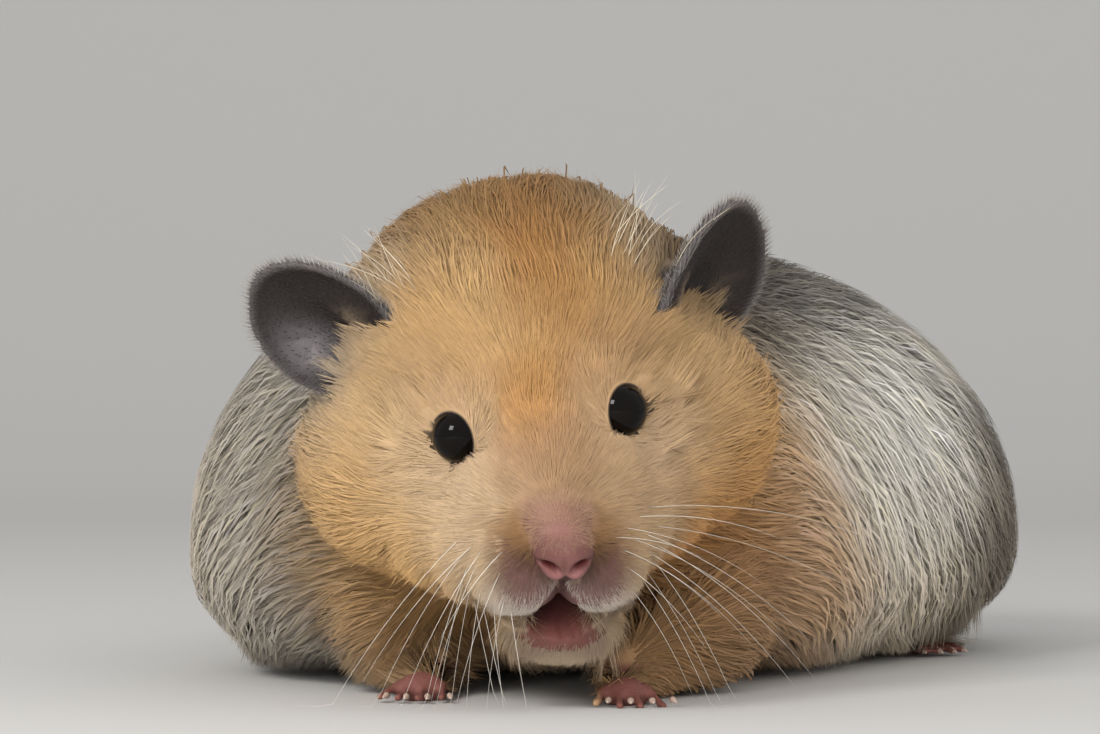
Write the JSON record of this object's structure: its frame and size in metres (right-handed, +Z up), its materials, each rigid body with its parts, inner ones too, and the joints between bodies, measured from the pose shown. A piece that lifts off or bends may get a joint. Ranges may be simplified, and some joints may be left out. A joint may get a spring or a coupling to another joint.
{
  "type": "syrian hamster",
  "caption": "Long-haired Syrian hamster, a life-size still model crouched on all fours with its head raised.",
  "frame": {"origin": "middle of the bounding box's lower face, on the ground", "axes": "-Y the way the animal faces, +X its left side, +Z up"},
  "size_m": [0.099, 0.1458, 0.0545],
  "materials": {
    "coat_gold": "soft golden fur",
    "coat_cream": "long cream fur, smoky at the back",
    "skin_pink": "bare pink skin",
    "ear_grey": "thin dark grey skin with fine down",
    "eye_black": "wet gloss"
  },
  "bodies": {
    "root": {"head": "coat_gold", "neck": "coat_gold", "lower_jaw": "coat_cream", "trunk": "coat_cream", "foreleg_left": "coat_cream", "foreleg_right": "coat_cream", "hindleg_left": "coat_cream", "hindleg_right": "coat_cream", "nose": "skin_pink", "forefoot_left": "skin_pink", "forefoot_right": "skin_pink", "hindfoot_left": "skin_pink", "hindfoot_right": "skin_pink", "tail": "skin_pink", "ear_left": "ear_grey", "ear_right": "ear_grey", "eye_left": "eye_black", "eye_right": "eye_black"}
  },
  "joints": []
}
